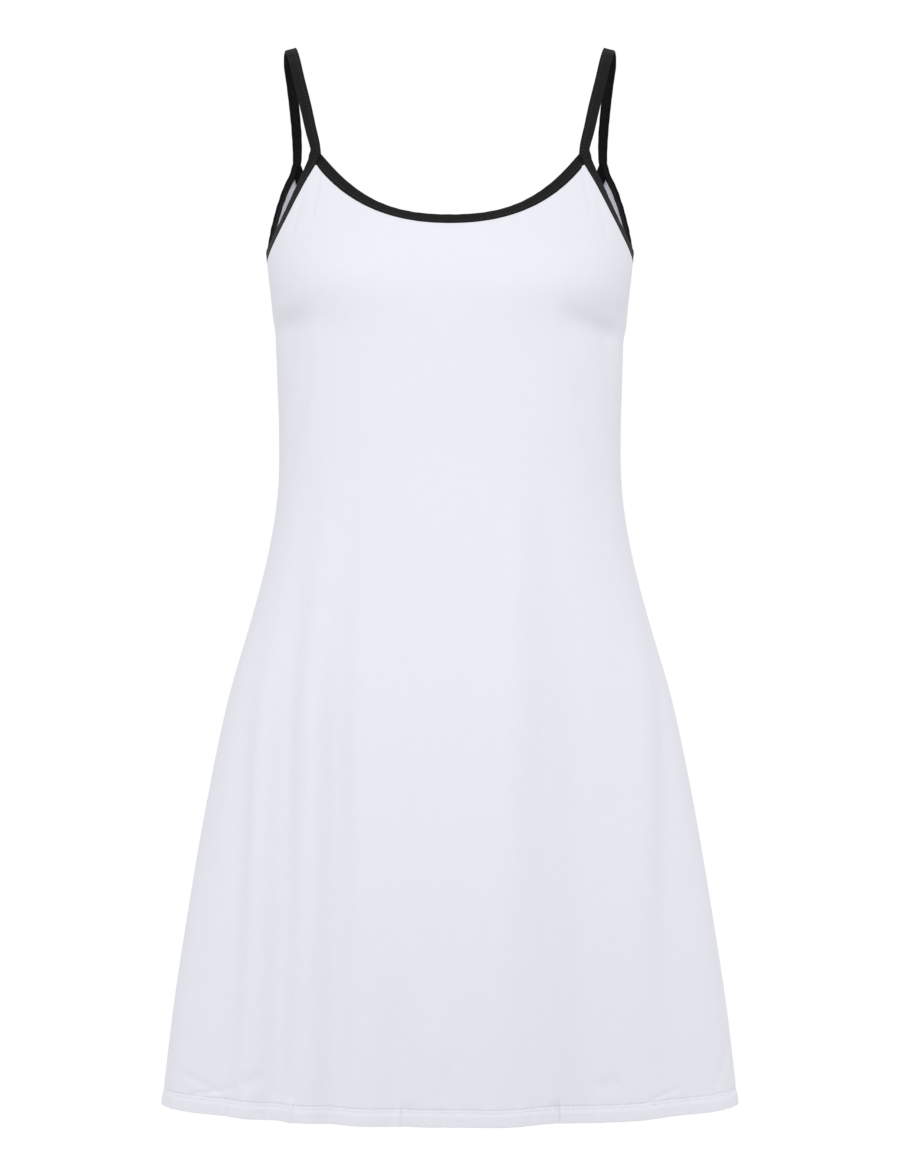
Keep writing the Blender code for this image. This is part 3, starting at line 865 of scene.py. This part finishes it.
# %% One stitch
STITCH_LENGTH = 0.0021
STITCH_STEP = 0.0029
THREAD = 0.00034
STITCH_BOW = 0.6
STRIP_STITCH_RISE = 0.15
HEM_STITCH_RISE = 0.2
HEM_LINE_POINTS = 720


def stitch_shape():
    """The points and faces of one stitch that lies along X with its top towards +Z."""
    bpy.ops.object.select_all(action="DESELECT")
    bpy.ops.mesh.primitive_uv_sphere_add(segments=8, ring_count=6, radius=0.5)
    ball = bpy.context.object
    bpy.ops.transform.resize(value=(STITCH_LENGTH, THREAD, THREAD))
    bpy.ops.object.transform_apply(location=True, rotation=True, scale=True)
    points = np.array([vertex.co[:] for vertex in ball.data.vertices])
    points[:, 2] -= THREAD * STITCH_BOW * (points[:, 0] / (STITCH_LENGTH / 2)) ** 2
    # A new ball's faces come in another order each time, so they are sorted.
    faces = sorted(tuple(face.vertices) for face in ball.data.polygons)
    bpy.data.objects.remove(ball)
    return points, faces


STITCH_POINTS, STITCH_FACES = stitch_shape()


def stitch_row(name, line, out, closed):
    """Stitches along a line of points on the cloth, all in one mesh."""
    distance, length = lengths_along(line, closed)
    if closed:
        line, out = np.vstack([line, line[:1]]), np.vstack([out, out[:1]])
        distance = np.append(distance, length)
    count = int(length / STITCH_STEP)
    middles = (np.arange(count) + 0.5) * length / count

    def at(where, rows):
        return np.stack([np.interp(where, distance, rows[:, k]) for k in range(3)], -1)

    centre = at(middles, line)
    along = unit(at(middles + THREAD, line) - at(middles - THREAD, line))
    face = unit(at(middles, out))
    across = unit(np.cross(face, along))
    axes = (along, across, np.cross(along, across))
    turned = [axis[:, None] * STITCH_POINTS[None, :, k : k + 1] for k, axis in enumerate(axes)]
    points = (centre[:, None] + sum(turned)).reshape(-1, 3)
    firsts = range(0, count * len(STITCH_POINTS), len(STITCH_POINTS))
    faces = [tuple(corner + first for corner in corners) for first in firsts for corners in STITCH_FACES]
    mesh = bpy.data.meshes.new(name)
    mesh.from_pydata(points.tolist(), [], faces)
    mesh.shade_smooth()
    piece = bpy.data.objects.new(name, mesh)
    bpy.context.scene.collection.objects.link(piece)
    return piece, count


print("one stitch:", len(STITCH_FACES), "faces")

# %% [markdown]
# The strips carry one row of stitches, nearer the cloth than the folded edge. The hem has two rows,
# which the twin needle sews at once.

# %% Stitches on the strips and round the hem
stitches = {}
face_height = STRIP_THICK / 2 - STITCH_DIP + THREAD * STRIP_STITCH_RISE
for name, path in paths.items():
    line = path.centre + path.across * STITCH_ACROSS + path.out * face_height
    stitches[name], count = stitch_row(name + "_stitches", line, path.out, "strap" in name)
    print(name, count, "stitches")


def hem_line(up):
    """The line round the hem at a height above its edge, and the direction out of the cloth."""
    from_middle = np.linspace(-math.pi / 2, math.pi / 2, HEM_LINE_POINTS, endpoint=False)
    height = np.full_like(from_middle, HEM_Z + up)
    lines, faces = [], []
    for half in (FRONT, BACK):
        angle = half.centre + from_middle
        lines.append(surface(angle, height, all_push_of(half, angle, from_middle)))
        faces.append(surface_normal(angle, height))
    out = np.concatenate(faces)
    return np.concatenate(lines) + out * THREAD * HEM_STITCH_RISE, out


for number, up in enumerate(STITCH_ROWS):
    name = "hem_stitches_" + str(number)
    stitches[name], count = stitch_row(name, *hem_line(up), True)
    print(name, count, "stitches")

# %% [markdown]
# ## Materials
#
# The dress is a smooth white jersey: a matt knit whose fine columns of loops show only close up. The
# knit is drawn on the UV map, which is in metres, so it follows the cloth. The binding is the same kind
# of cloth in black, with a tighter rib along the strip.


# %% Helpers for the materials
def new_material(name, colour, roughness, specular, sheen):
    """A plain cloth finish, and the handles that a pattern is added to."""
    material = bpy.data.materials.new(name)
    material.use_nodes = True
    tree = material.node_tree
    shader = tree.nodes["Principled BSDF"]
    shader.inputs["Base Color"].default_value = (*colour, 1.0)
    shader.inputs["Roughness"].default_value = roughness
    shader.inputs["Specular IOR Level"].default_value = specular
    shader.inputs["Sheen Weight"].default_value = sheen
    shader.inputs["Sheen Roughness"].default_value = 0.5
    return material, tree, shader


def add_knit(tree, shader, wale, course, depth):
    """Fine bumps of a knit: columns of loops wale apart and rows course apart, on the flat UV map."""
    place = tree.nodes.new("ShaderNodeTexCoord")
    bump = tree.nodes.new("ShaderNodeBump")
    bump.inputs["Strength"].default_value = 0.5
    bump.inputs["Distance"].default_value = depth
    height = tree.nodes.new("ShaderNodeMath")
    height.operation = "MULTIPLY"
    # At a scale of 1 the wave texture repeats every pi / 10 units.
    for slot, (direction, spacing) in enumerate((("X", wale), ("Y", course))):
        wave = tree.nodes.new("ShaderNodeTexWave")
        wave.bands_direction = direction
        wave.inputs["Scale"].default_value = math.pi / 10 / spacing
        wave.inputs["Distortion"].default_value = 0.6
        wave.inputs["Detail"].default_value = 1.0
        tree.links.new(place.outputs["UV"], wave.inputs["Vector"])
        tree.links.new(wave.outputs["Fac"], height.inputs[slot])
    tree.links.new(height.outputs["Value"], bump.inputs["Height"])
    tree.links.new(bump.outputs["Normal"], shader.inputs["Normal"])


def add_mottle(tree, shader, light, dark, scale):
    """Slight unevenness of the colour, in soft patches."""
    place = tree.nodes.new("ShaderNodeTexCoord")
    noise = tree.nodes.new("ShaderNodeTexNoise")
    noise.inputs["Scale"].default_value = scale
    noise.inputs["Detail"].default_value = 3.0
    ramp = tree.nodes.new("ShaderNodeValToRGB")
    ramp.color_ramp.elements[0].position = 0.3
    ramp.color_ramp.elements[0].color = (*dark, 1.0)
    ramp.color_ramp.elements[1].position = 0.7
    ramp.color_ramp.elements[1].color = (*light, 1.0)
    tree.links.new(place.outputs["UV"], noise.inputs["Vector"])
    tree.links.new(noise.outputs["Fac"], ramp.inputs["Fac"])
    tree.links.new(ramp.outputs["Color"], shader.inputs["Base Color"])


def darken_inner_face(tree, shader):
    """Makes the face of a strip that looks at the body darker; the UV map runs round the strip."""
    place = tree.nodes.new("ShaderNodeTexCoord")
    split = tree.nodes.new("ShaderNodeSeparateXYZ")
    inner = tree.nodes.new("ShaderNodeMath")
    inner.operation = "GREATER_THAN"
    inner.inputs[1].default_value = SHOWN_WIDTH + STRIP_THICK * INNER_START
    mix = tree.nodes.new("ShaderNodeMix")
    mix.data_type = "RGBA"
    mix.inputs["B"].default_value = (*INNER_BLACK, 1.0)
    colour = shader.inputs["Base Color"].links[0].from_socket
    tree.links.new(place.outputs["UV"], split.inputs["Vector"])
    tree.links.new(split.outputs["X"], inner.inputs[0])
    tree.links.new(inner.outputs["Value"], mix.inputs["Factor"])
    tree.links.new(colour, mix.inputs["A"])
    tree.links.new(mix.outputs["Result"], shader.inputs["Base Color"])


# %% The four finishes
WHITE = (0.682, 0.688, 0.741)
WHITE_SHADE = (0.675, 0.681, 0.734)
BLACK = (0.0062, 0.0062, 0.0066)
BLACK_LINT = (0.0095, 0.0097, 0.0102)
INNER_BLACK = (0.0020, 0.0020, 0.0022)
INNER_START = 0.7

jersey, tree, shader = new_material("white_jersey", WHITE, 0.80, 0.25, 0.04)
add_knit(tree, shader, 0.00050, 0.00042, 0.00005)
add_mottle(tree, shader, WHITE, WHITE_SHADE, 90.0)

binding, tree, shader = new_material("black_binding", BLACK, 0.72, 0.10, 0.02)
add_knit(tree, shader, 0.00045, 0.00090, 0.00010)
add_mottle(tree, shader, BLACK_LINT, BLACK, 700.0)
darken_inner_face(tree, shader)

white_thread, tree, shader = new_material("white_thread", (0.88, 0.885, 0.92), 0.55, 0.35, 0.0)
black_thread, tree, shader = new_material("black_thread", (0.045, 0.045, 0.047), 0.55, 0.25, 0.0)
print("materials:", [m.name for m in (jersey, binding, white_thread, black_thread)])

# %% [markdown]
# ## Put the pieces on the frame
#
# Each sheet rides on the dress's one body and stands for its solid, which is hidden.

# %% Ride and replace
pieces = (
    (front, "front_panel", jersey, "white_jersey"),
    (back, "back_panel", jersey, "white_jersey"),
    (strips["front_neck_strip"], "neck_binding_front", binding, "black_binding"),
    (strips["back_neck_strip"], "neck_binding_back", binding, "black_binding"),
    (strips["left_strap_strip"], "strap_and_armhole_left", binding, "black_binding"),
    (strips["right_strap_strip"], "strap_and_armhole_right", binding, "black_binding"),
)
for piece, node, material, slot in pieces:
    piece.data.materials.clear()
    piece.data.materials.append(material)
    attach(piece, "root")
    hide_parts(node)

for name, piece in stitches.items():
    white = name.startswith("hem")
    piece.data.materials.append(white_thread if white else black_thread)
    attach(piece, "root")

print("pieces:", len(pieces) + len(stitches))

# %% [markdown]
# ## The studio
#
# The photograph is a product shot on pure white, from straight in front. Most of its light comes
# evenly from all round, as in a tent of white cloth. A white sky gives that light and the white
# background at once. One soft lamp in front of the chest brightens the bodice, and weak ones low at
# both sides keep the edges of the skirt from going dull. The floor lies below the camera's view, in a
# pale grey that sends little light up under the bust.

# %% The floor
FLOOR_Z = -1.42
FLOOR_SIZE = 3.6

bpy.ops.object.select_all(action="DESELECT")
bpy.ops.mesh.primitive_plane_add(size=FLOOR_SIZE)
floor = bpy.context.object
floor.name = floor.data.name = "studio_floor"
bpy.ops.transform.translate(value=(0.0, 0.0, FLOOR_Z))
bpy.ops.object.transform_apply(location=True, rotation=True, scale=True)
paper, _, _ = new_material("studio_paper", (0.40, 0.40, 0.40), 0.9, 0.0, 0.0)
floor.data.materials.append(paper)
print("floor at", FLOOR_Z)


# %% The lights and the sky
def soft_light(name, place, target, size, power):
    """A square area light that points at a target."""
    light = bpy.data.lights.new(name, "AREA")
    light.size = size
    light.energy = power
    lamp = bpy.data.objects.new(name, light)
    lamp.location = place
    lamp.rotation_euler = (Vector(target) - Vector(place)).to_track_quat("-Z", "Y").to_euler()
    bpy.context.scene.collection.objects.link(lamp)


soft_light("front_lamp", (0.0, -1.2, 0.1), (0.0, 0.0, -0.25), 0.6, 3.9)
soft_light("low_right_lamp", (1.2, -0.8, -1.1), (0.2, 0.0, -0.75), 0.7, 2.4)
soft_light("low_left_lamp", (-1.2, -0.8, -1.1), (-0.2, 0.0, -0.75), 0.7, 3.2)
soft_light("hem_right_lamp", (1.3, -0.1, -0.9), (0.2, 0.0, -0.7), 0.7, 1.1)
soft_light("hem_left_lamp", (-1.3, -0.1, -0.9), (-0.2, 0.0, -0.7), 0.7, 0.5)
world = bpy.data.worlds.new("studio")
bpy.context.scene.world = world
world.use_nodes = True
world.node_tree.nodes["Background"].inputs["Color"].default_value = (1.0, 1.0, 1.0, 1.0)
world.node_tree.nodes["Background"].inputs["Strength"].default_value = 1.0
bpy.context.scene.view_settings.view_transform = "Standard"

# %% [markdown]
# The camera stands level with the middle of the dress, straight in front and far away, because the
# photograph shows neither the shoulders' tops nor the hem's underside. Its lens is set by the height
# of dress and margin that fills the frame at the dress's own distance.

# %% The camera
CAMERA_DISTANCE = 3.2
CAMERA_Z = -0.418
FRAME_HEIGHT = 0.917
SENSOR = 36.0

camera = bpy.data.cameras.new("camera")
camera.sensor_fit = "VERTICAL"
camera.sensor_height = SENSOR
camera.lens = SENSOR * CAMERA_DISTANCE / FRAME_HEIGHT
viewer = bpy.data.objects.new("camera", camera)
viewer.location = (0.0, -CAMERA_DISTANCE, CAMERA_Z)
viewer.rotation_euler = (math.pi / 2, 0.0, 0.0)
bpy.context.scene.collection.objects.link(viewer)
bpy.context.scene.camera = viewer
print("lens", round(camera.lens, 1), "mm")
